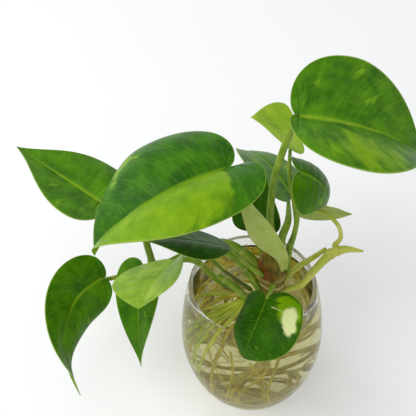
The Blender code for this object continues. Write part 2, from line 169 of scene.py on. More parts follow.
def addStudio():
    world = bpy.data.worlds.new("studio")
    bpy.context.scene.world = world
    bpy.context.scene.view_settings.view_transform = "Standard"
    bpy.context.scene.cycles.max_bounces = 24  # light has to leave the jar again
    bpy.context.scene.cycles.transmission_bounces = 24
    world.use_nodes = True
    feed(world.node_tree, world.node_tree.nodes["Background"],
        dict(Color=studio["sky"], Strength=studio["skyStrength"]))
    for lamp in studio["lamps"]:
        data = bpy.data.lights.new(lamp["name"], "AREA")
        data.size = lamp["size"]
        data.energy = lamp["power"]
        item = bpy.data.objects.new(lamp["name"], data)
        item.location = lamp["place"]
        item.rotation_euler = (Vector((0, 0, 0.1)) - item.location).to_track_quat("-Z", "Y").to_euler()
        bpy.context.scene.collection.objects.link(item)
    # painted board, matt white: a very fine mottling keeps it from being one flat colour
    paint, tree, shader = newMaterial("mattWhiteBoard")
    place = addNode(tree, "TexCoord", output="Object")
    mottle = addNode(tree, "TexNoise", dict(Vector=place, Scale=9.0, Detail=3.0))
    blend = dict(Factor=mottle, A="#f1f1f0", B=studio["floor"])
    tone = addNode(tree, "Mix", blend, "Result", data_type="RGBA")
    feed(tree, shader, {"Base Color": tone, "Roughness": 0.85})
    across, along = np.meshgrid(np.linspace(4, -4, 9), np.linspace(-4, 6, 9), indexing="ij")
    floor = gridPiece("floor", np.stack([across, along, 0 * across], -1), [paint])


addCamera()
addStudio()
print("camera and studio set")


# leaf materials

def leafTop(name, tones):
    # Living pothos leaf, upper side: a waxy cuticle over green flesh, so broad soft sheen and clear colour.
    # Lime and cream follow the veins in torn-edged patches; surface u runs across the leaf, v along it.
    material, tree, shader = newMaterial(name)
    surface = addNode(tree, "UVMap", uv_map="surface")
    place = addNode(tree, "TexCoord", output="Object")
    parts = addNode(tree, "SeparateXYZ", dict(Vector=surface)).node.outputs
    signed = addNode(tree, "Math", {0: parts["X"], 1: 2.0, 2: -1.0}, operation="MULTIPLY_ADD")
    reach = addNode(tree, "Math", {0: signed}, operation="ABSOLUTE")
    # two noises drawn out from the midrib along the side veins: broad streaks, then fine threads
    grain = []
    for wide, fine, shift, detail, roughness in ((1.6, 16.0, 0, 5.0, 0.62), (4.0, 70.0, 3, 3.0, 0.5)):
        x = addNode(tree, "Math", {0: signed, 1: wide}, operation="MULTIPLY")
        y = addNode(tree, "Math", {0: parts["Y"], 1: fine}, operation="MULTIPLY")
        spread = addNode(tree, "CombineXYZ", dict(X=x, Y=y, Z=tones["seed"] + shift))
        noise = dict(Vector=spread, Scale=1.0, Detail=detail, Roughness=roughness)
        grain.append(addNode(tree, "TexNoise", noise))
    streak, threads = grain
    mottle = addNode(tree, "TexNoise", dict(Vector=place, Scale=90.0, Detail=4.0))
    depth = addNode(tree, "MapRange", {"Value": mottle, "From Min": 0.32, "From Max": 0.68})
    fleshes = []
    for deep, pale in (("dark", "green"), ("limeDeep", "lime")):
        blend = dict(Factor=depth, A=tones[deep], B=tones[pale])
        fleshes.append(addNode(tree, "Mix", blend, "Result", data_type="RGBA"))
    flesh, limeFlesh = fleshes
    # pale flecks in the green: thin, rare, along the veins
    fleck = addNode(tree, "MapRange",
        {"Value": streak, "From Min": tones["fleck"], "From Max": tones["fleck"] + 0.10})
    layers = [(fleck, tones["flecks"])]
    # broad lime and cream fields with edges torn along the veins
    for key, colour in (("lime", limeFlesh), ("cream", tones["cream"])):
        field = addNode(tree, "Attribute", output="Fac", attribute_name=key)
        torn = addNode(tree, "Math", {0: streak, 1: 0.9, 2: -0.45}, operation="MULTIPLY_ADD")
        torn = addNode(tree, "Math", {0: torn, 1: field}, operation="ADD")
        torn = addNode(tree, "MapRange", {"Value": torn, "From Min": 0.40, "From Max": 0.62},
            interpolation_type="SMOOTHSTEP")
        layers.append((torn, colour))
    # side veins every ninth of the length, a lighter hair line, and the broad midrib
    comb = addNode(tree, "Math", {0: parts["Y"], 1: tones["veins"]}, operation="MULTIPLY")
    comb = addNode(tree, "Math", {0: comb, 1: 0.5}, operation="PINGPONG")
    vein = addNode(tree, "MapRange", {"Value": comb, "From Min": 0.05, "From Max": 0.0,
        "To Max": tones["veinShow"]}, interpolation_type="SMOOTHSTEP")
    thread = addNode(tree, "MapRange", {"Value": threads, "From Min": 0.48, "From Max": 0.72, "To Max": 0.15})
    vein = addNode(tree, "Math", {0: vein, 1: thread}, operation="MAXIMUM")
    midrib = addNode(tree, "MapRange", {"Value": reach, "From Min": tones["midribWide"],
        "From Max": tones["midribWide"] / 4, "To Max": tones["midribShow"]}, interpolation_type="SMOOTHSTEP")
    rim = addNode(tree, "MapRange", {"Value": reach, "From Min": 0.972, "From Max": 0.995, "To Max": 0.65})
    layers += [(vein, tones["vein"]), (midrib, tones["midrib"]), (rim, tones["margin"])]
    for factor, colour in layers:
        flesh = addNode(tree, "Mix", dict(Factor=factor, A=flesh, B=colour), "Result", data_type="RGBA")
    rough = addNode(tree, "MapRange", {"Value": mottle, "To Min": 0.25, "To Max": 0.38})
    # skin cells, drawn at half a millimetre so that they show at all
    cells = addNode(tree, "TexVoronoi", dict(Vector=place, Scale=1900.0))
    height = addNode(tree, "Math", {0: threads, 1: 1.4, 2: cells}, operation="MULTIPLY_ADD")
    bump = addNode(tree, "Bump", dict(Height=height, Strength=0.34, Distance=0.0004))
    feed(tree, shader, {"Base Color": flesh, "Roughness": rough, "Normal": bump, "IOR": 1.45,
        "Specular IOR Level": tones["shine"]})
    return material


def leafUnderside(name, tones):
    # Pothos leaf from below: paler, dull, with raised veins that are lighter than the flesh.
    material, tree, shader = newMaterial(name)
    surface = addNode(tree, "UVMap", uv_map="surface")
    place = addNode(tree, "TexCoord", output="Object")
    parts = addNode(tree, "SeparateXYZ", dict(Vector=surface)).node.outputs
    mottle = addNode(tree, "TexNoise", dict(Vector=place, Scale=110.0, Detail=4.0))
    comb = addNode(tree, "Math", {0: parts["Y"], 1: tones["veins"]}, operation="MULTIPLY")
    comb = addNode(tree, "Math", {0: comb, 1: 0.5}, operation="PINGPONG")
    vein = addNode(tree, "MapRange", {"Value": comb, "From Min": 0.09, "From Max": 0.0, "To Max": 0.55})
    flesh = tones["under"]
    for factor, key in ((mottle, "underPale"), (vein, "midrib")):
        flesh = addNode(tree, "Mix", dict(Factor=factor, A=flesh, B=tones[key]), "Result", data_type="RGBA")
    bump = addNode(tree, "Bump", dict(Height=vein, Strength=0.4, Distance=0.0005))
    feed(tree, shader, {"Base Color": flesh, "Normal": bump, "Roughness": 0.55, "Specular IOR Level": 0.2})
    return material


variegated = dict(shine=0.14, dark="#1f5200", green="#3a7300", lime="#7ba200", cream="#dde2a0",
    flecks="#77a012", vein="#86ad36", midrib="#86aa1c", margin="#a9c24e", under="#5f8a02",
    underPale="#7aa010", veins=9.0, fleck=0.64, seed=1.0, veinShow=0.13, midribShow=0.45, midribWide=0.03,
    limeDeep="#5f8a00")
leafTones = dict(
    green=variegated,
    mid=dict(variegated, dark="#2c5f00", green="#4e8200", fleck=0.62, seed=3.0, midribShow=0.6,
        midribWide=0.055),
    dark=dict(variegated, shine=0.07, dark="#1a4700", green="#326400", flecks="#5d8d0e", fleck=0.66,
        seed=5.0, midribShow=0.28),
    lime=dict(variegated, dark="#8dbb0a", green="#bad829", flecks="#b4c95a", midrib="#b7cc50", fleck=0.60,
        seed=9.0, under="#90a93c", underPale="#b7c570"),
    pale=dict(variegated, dark="#6c9c16", green="#a4c23e", flecks="#a6c060", midrib="#a5bd4c", fleck=0.60,
        seed=12.0))
leafSkins = {key: [leafTop(key + "LeafTop", tones), leafUnderside(key + "LeafUnderside", tones)]
    for key, tones in leafTones.items()}


# leaves

# angles in degrees, lengths in metres; (right, left) pairs as seen from the stalk along the midrib.
# patches: (attribute, side, place along, place across, reach along, reach across, strength)
usualLeaf = dict(slot="leaf_variegated", creases=9.0, wave=0.0004, waves=1.5, patches=[])
leaves = dict(
    leaf_main=dict(length=0.102, width=0.099, heading=211, turn=-16, rise=13, droop=82, bank=-10, twist=-11,
        fold=(37, 44), curl=(-72, -85), lobe=0.13, belly=0.32, acum=0.31, skin="green", quilt=0.00026,
        wave=0.0010, waves=2.3, patches=[("lime", -1, 0.72, 0.5, 0.34, 0.9, 1.3),
        ("lime", -1, 0.45, 0.25, 0.10, 0.35, 0.5), ("lime", 1, 0.58, 0.92, 0.07, 0.12, 0.95),
        ("lime", 1, 0.70, 0.80, 0.05, 0.16, 0.5)]),
    leaf_upper_right=dict(length=0.094, width=0.099, heading=-5, turn=7, rise=-5, droop=49, bank=10,
        twist=-5, fold=(24, 19), curl=(-33, 0), lobe=0.083, belly=0.36, acum=0.05, skin="mid", quilt=0.00024,
        wave=0.0012, waves=2.0, patches=[("lime", 1, 0.52, 0.60, 0.34, 0.60, 0.60),
        ("lime", 1, 0.90, 0.6, 0.07, 0.5, 0.25), ("lime", -1, 0.40, 0.55, 0.04, 0.25, 0.35)]),
    leaf_upper_small=dict(length=0.041, width=0.037, heading=205, turn=6, rise=40, droop=-9, bank=17,
        twist=-7, fold=(9, 8), curl=(5, 0), lobe=0.12, belly=0.10, acum=0.19, skin="lime", slot="leaf_lime",
        quilt=0.00008, wave=0.0005, waves=1.6),
    leaf_far_left=dict(length=0.067, width=0.061, heading=146, turn=-3, rise=11, droop=5, bank=-4, twist=-8,
        fold=(19, 20), curl=(-44, -5), lobe=0.15, belly=0.14, acum=0.16, skin="mid", quilt=0.00018,
        wave=0.0006, waves=1.8),
    leaf_low_left=dict(length=0.088, width=0.048, heading=211, turn=104, rise=3, droop=65, bank=42, twist=20,
        fold=(24, 2), curl=(-32, -45), lobe=0.05, belly=0.25, acum=0.04, skin="mid", quilt=0.00060,
        creases=4.0, wave=0.0008, waves=2.4),
    leaf_low_pointed=dict(length=0.066, width=0.035, heading=252, turn=29, rise=-43, droop=26, bank=-21,
        twist=-23, fold=(11, 16), curl=(4, -12), lobe=0.12, belly=0.13, acum=0.05, skin="mid",
        quilt=0.00018),
    leaf_low_small=dict(length=0.043, width=0.060, heading=229, turn=26, rise=2, droop=-7, bank=-45,
        twist=28, fold=(5, 14), curl=(8, 8), lobe=0.10, belly=0.36, acum=0.50, skin="pale", slot="leaf_lime",
        quilt=0.00018, patches=[("lime", -1, 0.45, 0.55, 0.25, 0.4, 0.38),
        ("cream", -1, 0.55, 0.45, 0.05, 0.12, 0.5), ("lime", 1, 0.5, 0.5, 0.2, 0.4, 0.3)]),
    leaf_under_main=dict(length=0.065, width=0.044, heading=169, turn=40, rise=15, droop=-9, bank=-44,
        twist=25, fold=(2, 10), curl=(8, -52), lobe=0.03, belly=0.28, acum=0.14, skin="dark",
        slot="leaf_dark", quilt=0.00010),
    leaf_front=dict(length=0.042, width=0.057, heading=250, turn=-25, rise=-9, droop=73, bank=-17, twist=12,
        fold=(2, 6), curl=(-75, -33), lobe=0.20, belly=0.35, acum=0.50, skin="dark", quilt=0.00012,
        patches=[("lime", -1, 0.32, 0.62, 0.17, 0.42, 0.9), ("cream", -1, 0.40, 0.66, 0.11, 0.26, 0.85),
        ("cream", -1, 0.36, 0.20, 0.03, 0.16, 0.45), ("lime", 1, 0.66, 0.25, 0.03, 0.2, 0.4),
        ("lime", -1, 0.78, 0.4, 0.03, 0.2, 0.45)]),
    leaf_right=dict(length=0.037, width=0.051, heading=-2, turn=-7, rise=-26, droop=79, bank=-2, twist=-14,
        fold=(0, 0), curl=(-35, -65), lobe=0.157, belly=0.20, acum=0.25, skin="mid", slot="leaf_dark",
        quilt=0.00014, patches=[("lime", 1, 0.70, 0.6, 0.10, 0.35, 0.6),
        ("lime", -1, 0.35, 0.5, 0.12, 0.3, 0.3)]),
    leaf_right_under=dict(length=0.026, width=0.036, heading=2, turn=-29, rise=-23, droop=-43, bank=62,
        twist=2, fold=(1, -3), curl=(-16, -25), lobe=0.21, belly=0.13, acum=0.25, skin="lime",
        slot="leaf_lime", quilt=0.00006, wave=0.0003),
    leaf_back_top=dict(length=0.069, width=0.049, heading=116, turn=11, rise=14, droop=73, bank=-29, twist=5,
        fold=(2, 9), curl=(-19, -3), lobe=0.12, belly=0.17, acum=0.22, skin="mid", slot="leaf_lime",
        quilt=0.00010, wave=0.0005, waves=1.7, patches=[("lime", 1, 0.5, 0.5, 0.3, 0.5, 0.5),
        ("lime", -1, 0.6, 0.6, 0.2, 0.5, 0.45)]),
    leaf_back_centre=dict(length=0.042, width=0.032, heading=80, turn=-20, rise=78, droop=22, bank=0,
        twist=0, fold=(14, 10), curl=(0, -10), lobe=0.10, belly=0.17, acum=0.18, skin="dark",
        slot="leaf_dark", quilt=0.00008, wave=0.0003))


def bezier(knots, t):
    a, b, c, d = (np.array(knot, float) for knot in knots)
    t = t[:, None]
    return (1 - t) ** 3 * a + 3 * (1 - t) ** 2 * t * b + 3 * (1 - t) * t ** 2 * c + t ** 3 * d


def heartEdge(leaf, t):
    # Half a heart, from the notch to the tip: two cubic Beziers that meet at the widest part.
    split, lobe, belly = 0.4, leaf["lobe"], leaf["belly"]
    low = bezier([(0, 0), (0.04, -1.35 * lobe), (1, -1.25 * lobe), (1, belly)], np.clip(t / split, 0, 1))
    high = bezier([(1, belly), (1, belly + 0.34), (leaf["acum"], 0.80), (0, 1)],
        np.clip((t - split) / (1 - split), 0, 1))
    return np.where((t < split)[:, None], low, high)


def bendLeaf(leaf, x, y):
    # Flat leaf to space. The midrib's slope falls with the 1.3rd power of the way along it and its heading
    # turns evenly; each half is an arc that leaves the midrib at the fold angle and bends by the curl angle.
    # Returns the points and the directions square to the leaf.
    steps = np.linspace(0, 1, 121)
    turn, slope = np.radians(leaf["turn"] * steps), np.radians(leaf["rise"] - leaf["droop"] * steps ** 1.3)
    along = np.stack([np.cos(slope) * np.cos(turn), np.cos(slope) * np.sin(turn), np.sin(slope)], -1)
    centre = np.vstack([np.zeros(3), np.cumsum((along[1:] + along[:-1]) * leaf["length"] / 240, 0)])
    inside = np.clip(y, 0, 1)
    spine = np.stack([np.interp(inside, steps, centre[:, axis]) for axis in range(3)], -1)
    spine = spine + np.minimum(y, 0)[..., None] * leaf["length"] * along[0]
    turn, slope = np.radians(leaf["turn"] * inside), np.radians(leaf["rise"] - leaf["droop"] * inside ** 1.3)
    forward = np.stack([np.cos(slope) * np.cos(turn), np.cos(slope) * np.sin(turn), np.sin(slope)], -1)
    level = np.stack([np.sin(turn), -np.cos(turn), 0 * turn], -1)
    up = np.cross(level, forward)
    roll = np.radians(leaf["bank"] + leaf["twist"] * inside)[..., None]
    side, lift = level * np.cos(roll) + up * np.sin(roll), up * np.cos(roll) - level * np.sin(roll)
    hand, reach, half = np.sign(x), np.abs(x), leaf["width"] / 2
    fold, curl = np.radians(np.where(x >= 0, *leaf["fold"])), np.radians(np.where(x >= 0, *leaf["curl"]))
    curl = np.where(np.abs(curl) < 0.001, 0.001, curl)
    out = half / curl * (np.sin(fold + curl * reach) - np.sin(fold))
    rise = half / curl * (np.cos(fold) - np.cos(fold + curl * reach))
    angle = (fold + curl * reach)[..., None]
    square = lift * np.cos(angle) - side * hand[..., None] * np.sin(angle)
    return spine + side * (hand * out)[..., None] + lift * rise[..., None], square


leafSheet = dict(rows=110, half=27, crowd=0.85, thickness=0.00045, furrow=0.0006, furrowWide=0.035)


def growLeaf(name, leaf):
    # Rows follow the side veins' order t from notch to tip, columns run from the left edge over the midrib
    # to the right edge. Relief, square to the leaf: a midrib furrow and sunken side veins (bell-shaped
    # grooves), pillowed flesh between them, and a slow wave that grows towards the edge.
    t = np.linspace(0, 1, leafSheet["rows"])
    half = np.linspace(0, 1, leafSheet["half"]) ** leafSheet["crowd"]
    across = np.concatenate([-np.linspace(1, 0, leafSheet["half"]) ** leafSheet["crowd"], half[1:]])
    edge = heartEdge(leaf, t)
    start = ramp(t - 0.25, 0.75) ** 1.3
    reach = np.abs(across)[None, :]
    x = (1.24 * reach * (1 - reach) + reach ** 2) * edge[:, :1]
    middle = start + 0.25 * (edge[:, 1] - start)
    y = (1 - reach) ** 2 * start[:, None] + 2 * reach * (1 - reach) * middle[:, None]
    y = y + reach ** 2 * edge[:, 1:]
    side = np.where(across >= 0, 1.0, -1.0)[None, :]
    points, square = bendLeaf(leaf, np.maximum(x, 1e-7) * side, y)
    down = t[:, None]
    phase = np.abs((down * leaf["creases"] + 0.5) % 1 - 0.5)
    fade = ramp(reach, 0.08) * (1 - reach ** 3) * ramp(1 - down, 0.15) * ramp(down, 0.12)
    relief = leaf["quilt"] * fade * (np.cos(2 * np.pi * phase) * -0.8 - 0.9 * bell(phase, 0.07))
    furrow = leafSheet["furrow"] * bell(reach, leafSheet["furrowWide"])
    relief = relief - furrow * ramp(1 - down, 0.1) * ramp(down, 0.2)
    wave = leaf["wave"] * reach ** 2.5 * np.sin(2 * np.pi * leaf["waves"] * down + side)
    relief = relief + wave * ramp(1 - down, 0.2)
    points = points + square * relief[..., None]
    angle = np.radians(leaf["heading"])
    spin = np.array([[np.cos(angle), np.sin(angle), 0], [-np.sin(angle), np.cos(angle), 0], [0, 0, 1]])
    points = fitInto(points @ spin, name)
    fields = dict(lime=np.zeros(x.shape), cream=np.zeros(x.shape))
    for kind, hand, alongAt, acrossAt, alongReach, acrossReach, strength in leaf["patches"]:
        distance = ((down - alongAt) / alongReach) ** 2 + ((reach - acrossAt) / acrossReach) ** 2
        fields[kind] = fields[kind] + strength * np.exp(-distance) * (side == hand)
    uv = np.stack(np.broadcast_arrays(0.5 + 0.5 * across[None, :], down), -1)
    piece = gridPiece(name + "_blade", points, leafSkins[leaf["skin"]], uv=uv, values=fields,
        thickness=leafSheet["thickness"])
    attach(piece, "root")
    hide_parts(name)


for leafName, leafShape in leaves.items():
    growLeaf(leafName, usualLeaf | leafShape)
print("leaves grown")


# stems and stalks

def smoothPath(knots, count):
    # Even steps along a Catmull-Rom curve through the knots; a knot is (x, y, z, radius) in millimetres.
    knots = np.array(knots, float) / 1000
    padded = np.vstack([2 * knots[0] - knots[1], knots, 2 * knots[-1] - knots[-2]])
    a, b, c, d = (padded[k:k + len(knots) - 1][:, None] for k in range(4))
    u = np.linspace(0, 1, 24, endpoint=False)[None, :, None]
    fine = 2 * b + (c - a) * u + (2 * a - 5 * b + 4 * c - d) * u ** 2 + (3 * b - a - 3 * c + d) * u ** 3
    fine = np.vstack([(0.5 * fine).reshape(-1, 4), knots[-1:]])
    length = np.concatenate([[0], np.cumsum(np.linalg.norm(np.diff(fine[:, :3], axis=0), axis=1))])
    even = np.linspace(0, length[-1], count)
    return np.stack([np.interp(even, length, fine[:, axis]) for axis in range(4)], -1)


def alongFrames(centre):
    # Directions along and square to paths of shape (paths, rows, 3): the side direction is carried from row
    # to row with its part along the path taken out, so a tube on it doesn't twist.
    along = np.gradient(centre, axis=1)
    along /= np.linalg.norm(along, axis=-1, keepdims=True)
    side = np.empty_like(along)
    start = np.cross(along[:, 0], np.where(np.abs(along[:, :1, 2]) > 0.8, [[1.0, 0, 0]], [[0, 0, 1.0]]))
    side[:, 0] = start / np.linalg.norm(start, axis=-1, keepdims=True)
    for row in range(1, centre.shape[1]):
        kept = side[:, row - 1] - along[:, row] * (side[:, row - 1] * along[:, row]).sum(-1, keepdims=True)
        side[:, row] = kept / np.linalg.norm(kept, axis=-1, keepdims=True)
    return along, side, np.cross(along, side)


def tubeGrids(paths, sides, radius=None):
    # Tubes along paths of shape (paths, rows, 4): circles of the given radius square to the path, closed at
    # both ends by four rows of a flattened half ball.
    along, side, other = alongFrames(paths[..., :3])
    radius = np.broadcast_to(paths[..., 3:] if radius is None else radius, (*paths.shape[:2], sides))
    turn = np.linspace(0, 2 * np.pi, sides, endpoint=False)
    ring = side[..., None, :] * np.cos(turn)[:, None] + other[..., None, :] * np.sin(turn)[:, None]
    body = paths[..., None, :3] + ring * radius[..., None]
    lean = np.radians([90, 65, 42, 20])[None, :, None, None]
    ends = []
    for row, way in ((slice(0, 1), -1), (slice(-1, None), 1)):
        flat = ring[:, row] * radius[:, row, :, None] * np.cos(lean)
        bulge = along[:, row, None] * paths[:, row, None, 3:] * 0.6 * np.sin(lean)
        ends.append(paths[:, row, None, :3] + flat + way * bulge)
    return np.concatenate([ends[0], body, ends[1][:, ::-1]], 1)


def tubeUv(paths, sides):
    # u once round, v in centimetres along the first path; the end rows share their neighbour's v.
    step = np.linalg.norm(np.diff(paths[0, :, :3], axis=0), axis=-1)
    length = np.concatenate([np.zeros(5), np.cumsum(step), np.full(4, step.sum())]) * 100
    return np.stack(np.broadcast_arrays(np.linspace(0, 1, sides + 1)[None, :], length[:, None]), -1)


def stemSkin(name, tones):
    # Living stem or root: moist skin over flesh, with fine lengthwise fibres, freckles and a low sheen. The
    # tones also make it cork, which is rough and brown.
    material, tree, shader = newMaterial(name)
    surface = addNode(tree, "UVMap", uv_map="surface")
    place = addNode(tree, "TexCoord", output="Object")
    fibres = addNode(tree, "Mapping", dict(Vector=surface, Scale=(26.0, 1.6, 1.0)))
    fibre = addNode(tree, "TexNoise", dict(Vector=fibres, Scale=1.0, Detail=4.0))
    mottle = addNode(tree, "TexNoise", dict(Vector=place, Scale=130.0, Detail=3.0))
    blend = addNode(tree, "Math", {0: mottle, 1: 0.5}, operation="MULTIPLY")
    blend = addNode(tree, "Math", {0: fibre, 1: 0.5, 2: blend}, operation="MULTIPLY_ADD")
    blend = addNode(tree, "MapRange", {"Value": blend, "From Min": 0.36, "From Max": 0.64})
    blotch = addNode(tree, "TexNoise", dict(Vector=place, Scale=tones["blotchScale"], Detail=5.0))
    blotch = addNode(tree, "MapRange", {"Value": blotch, "From Min": tones["blotchFrom"],
        "From Max": tones["blotchFrom"] + 0.12, "To Max": 0.8})
    layers = [(blend, tones["pale"]), (blotch, tones["blotch"])]
    # the 'deep' attribute darkens the skin towards near black: painted shade, in the hollow round a bud's
    # knob
    for key, colour in (("scar", tones["scar"]), ("deep", "#2c2604")):
        layers.append((addNode(tree, "Attribute", output="Fac", attribute_name=key), colour))
    flesh = tones["dark"]
    for factor, colour in layers:
        flesh = addNode(tree, "Mix", dict(Factor=factor, A=flesh, B=colour), "Result", data_type="RGBA")
    bump = addNode(tree, "Bump", dict(Height=fibre, Strength=tones["bump"], Distance=0.0006))
    feed(tree, shader, {"Base Color": flesh, "Normal": bump, "Roughness": tones["roughness"],
        "Specular IOR Level": 0.3})
    return material


greenTones = dict(dark="#5d8109", pale="#8ca42c", blotch="#a5ae45", blotchScale=60.0, blotchFrom=0.60,
    scar="#b9ad6a", bump=0.25, roughness=0.42)
stemSkins = dict(
    green_stem=stemSkin("greenStemSkin", greenTones),
    sheath=stemSkin("sheathSkin", dict(greenTones, dark="#9aad45", pale="#aebd60", blotch="#bcc880",
    blotchFrom=0.62, bump=0.12, roughness=0.40)),
    pale_stem=stemSkin("paleStemSkin", dict(greenTones, dark="#a3ab34", pale="#c1c45a", blotch="#d3d183",
    scar="#a99a52")),
    old_stem=stemSkin("corkyStemSkin", dict(greenTones, dark="#463b00", pale="#867606", blotch="#7a3004",
    blotchScale=75.0, blotchFrom=0.52, scar="#bfae6c", bump=0.7, roughness=0.55)),
    root=stemSkin("rootSkin", dict(greenTones, dark="#b0a01c", pale="#dfd24a", blotch="#857010",
    blotchScale=90.0, blotchFrom=0.56, scar="#d6cd93", roughness=0.45)),
    youngRoot=stemSkin("youngRootSkin", dict(greenTones, dark="#a2b814", pale="#d4de48", blotch="#a0ae18",
    scar="#d6cd93", roughness=0.40)))

# knots (x, y, z, radius) in millimetres; rings are places along the length where a node swells it; scars are
# (place along, turn in degrees, half length in mm) and are not used; reach is how far the ends run into what
# they join, in mm
usualStem = dict(slot="green_stem", sides=24, rings=[], swell=0.10, groove=0, lumps=0, reach=(0, 0))
stems = dict(
    old_stem=dict(knots=[(7, 4, 46, 4.0), (10, 2.5, 70, 5.6), (12, 2, 95, 7.0), (12.5, 4, 108, 8.0),
        (12, 6, 119, 8.0), (12, 6.5, 128, 6.0)], slot="old_stem", sides=40,
        rings=[0.18, 0.35, 0.50, 0.66, 0.74], swell=0.10, lumps=0.08, reach=(0, 9),
        eye=(0.875, 163, 3.0, 2.4)),
    stalk_upper_right=dict(knots=[(13, 11, 134, 2.6), (11, 11.5, 144, 2.4), (10.5, 15, 160, 2.3),
        (12.5, 21, 180, 2.2), (16.5, 26, 196, 2.2), (21, 30, 210, 2.2), (24.2, 30.2, 222, 1.2)], groove=0.16,
        reach=(8, 2.2)),
    stalk_upper_small=dict(knots=[(22.5, 14, 124, 1.6), (27, 18, 139, 1.5), (25.5, 22, 156, 1.4),
        (22.5, 31, 174, 1.3), (24, 51.4, 185, 0.9)], groove=0.12, reach=(9, 2.0)),
    stalk_back_top=dict(knots=[(16.5, 4, 131, 2.6), (18, 9, 141, 2.5), (22, 20, 143, 2.2),
        (23.6, 40.8, 137.6, 1.1)], groove=0.12, reach=(5, 2.4)),
    stalk_back_centre=dict(knots=[(6.5, 14.6, 118, 1.8), (4, 20, 123, 1.5), (3, 24, 127.6, 1)],
        reach=(3, 2.0)),
    stalk_right=dict(knots=[(22, 8, 114, 1.8), (23, 9.5, 126, 1.7), (25.5, 12, 139, 1.7), (27, 14, 152, 1.6),
        (27.5, 18, 170, 1.5), (27.6, 19.6, 185.5, 1.0)], groove=0.12, reach=(6, 2.0)),
    stalk_right_under=dict(knots=[(51.5, 9, 132.8, 1.6), (54, 9, 139, 1.4), (52.5, 13, 145.5, 1.3),
        (46, 22, 146, 1.2), (39, 29.6, 141, 0.8)], slot="pale_stem", rings=[0.02], reach=(2, 1.2)),
    side_shoot=dict(knots=[(20.6, 1, 97, 2.2), (30, 0, 103, 2.3), (37, 2, 112.5, 2.4), (43, 4, 121, 2.7),
        (49, 6, 127.5, 3.2), (57, 6, 131, 2.4), (67.5, 6, 129, 0.8)], slot="pale_stem",
        rings=[0.36, 0.66, 0.74], swell=0.14, groove=0.10, reach=(4, 0.6)),
    side_twig=dict(knots=[(21.4, 7, 102, 1.9), (29, 10, 108.5, 1.9), (38, 12, 115, 1.8),
        (44, 9.5, 125.5, 1.4)], slot="pale_stem", rings=[0.5], reach=(4, 2)),
    shoot_left=dict(knots=[(2.8, 8, 116, 2.6), (-5, 12, 122, 2.5), (-15, 18, 124, 2.2), (-28, 23, 121, 1.2)],
        rings=[0.3, 0.7], swell=0.12, reach=(3, 1)),
    shoot_low=dict(knots=[(2.9, 4.5, 98, 2.6), (-2.5, 7, 108, 2.6), (-8, 11, 114, 2.4), (-16, 16, 117, 2.1)],
        rings=[0.45, 0.9], swell=0.12, reach=(3, 3)),
    shoot_water=dict(knots=[(2.6, -0.5, 86, 2.6), (-4.5, -2.5, 95, 2.6), (-12, -1, 104, 2.5),
        (-19, 1, 110, 2.1)], rings=[0.5, 0.9], swell=0.12, reach=(3, 3)),
    trailing_stem=dict(knots=[(2.2, 5, 74, 1.9), (-10, 8, 84, 1.9), (-25.5, 12, 99, 1.9),
        (-35, 15.5, 108.7, 1.9), (-46, 16.5, 109.5, 1.8), (-65, 17, 99.5, 1.8), (-80, 15, 96.5, 1.8),
        (-90, 9, 101.5, 1.4)], rings=[0.42, 0.72, 0.93], swell=0.22, reach=(3, 3)),
    trailing_twig=dict(knots=[(-6, 15, 82, 1.3), (-20, 21, 95, 1.3), (-31, 23.4, 108, 1.3),
        (-42, 23.5, 108, 1.2), (-56, 22.5, 100, 0.9)], rings=[0.6], reach=(8, 5)),
    stalk_far_left=dict(knots=[(-64, 21, 102.6, 2.4), (-65.5, 22, 113, 2.3), (-70, 25, 133, 2.1),
        (-82, 28, 145, 1.8), (-92, 29.6, 150.2, 1.2)], rings=[0.05], groove=0.14, reach=(2.5, 2.0)),
    stalk_low_pointed=dict(knots=[(-67.3, 14, 102, 1.3), (-68, 12, 105.5, 1.1), (-69.4, 9.6, 109, 0.8)],
        reach=(2, 1.6)),
    stalk_low_small=dict(knots=[(-46, 13, 112.4, 1.4), (-46, 6, 121, 1.3), (-49, -3.4, 132.4, 0.9)],
        reach=(2.5, 2.0)),
    stalk_under_main=dict(knots=[(3.6, -1, 118, 1.8), (-5, -4, 132, 1.7), (-13.2, -6, 146.8, 1.1)],
        rings=[0.1], reach=(4, 2.0)),
    stalk_front=dict(knots=[(12, -6.8, 112, 1.8), (11.5, -14, 120, 1.6), (8, -25.8, 126.4, 1.1)],
        reach=(3, 2.0)))

usualRoot = dict(usualStem, slot="root", lumps=0.05, reach=(3, 0))
roots = dict(
    root_left_wall=dict(knots=[(3.0, 1, 60, 1.9), (-14, -4, 64, 1.8), (-31, -8, 59, 1.7),
        (-35.5, -11, 44, 1.6), (-29, -15, 26, 1.5), (-16, -21, 13.5, 1.4), (2, -24, 11.5, 1.1)]),
    root_back_left=dict(knots=[(2.6, 7.4, 54, 1.7), (-10, 18, 58, 1.6), (-25, 24, 50, 1.5),
        (-28, 20, 32, 1.4), (-19, 14, 17, 1.3), (-9, 8, 12, 1.0)]),
    root_right_wall=dict(knots=[(15.4, 3, 62, 1.8), (28, 4, 60, 1.7), (36.5, 2, 47, 1.6),
        (33.5, -6, 31, 1.5), (23, -14, 20, 1.3), (10, -18, 16.5, 1.0)]),
    root_front=dict(knots=[(9, -3, 56, 1.7), (5, -16, 54, 1.6), (-7, -28, 44, 1.5), (-14, -28.5, 31, 1.4),
        (-11, -21, 21.5, 1.2), (0, -13, 18.5, 1.0)]),
    root_back_right=dict(knots=[(10.4, 8.4, 48, 1.6), (18, 20, 44, 1.5), (22, 24, 32, 1.4),
        (13, 22, 18, 1.3), (-3, 19, 13, 1.0)]),
    root_middle=dict(knots=[(5.4, 3, 43.2, 2.2), (1, 1, 34, 1.9), (-6, -3, 27, 1.6), (-2, -6, 20, 1.3),
        (8, -4, 15, 1.0)]),
    root_upper_left=dict(knots=[(-6, 1.2, 91, 1.6), (-17, 3, 86, 1.6), (-28, 0, 77, 1.5), (-35, 4, 62, 1.4),
        (-37, 8, 48, 1.2)]))

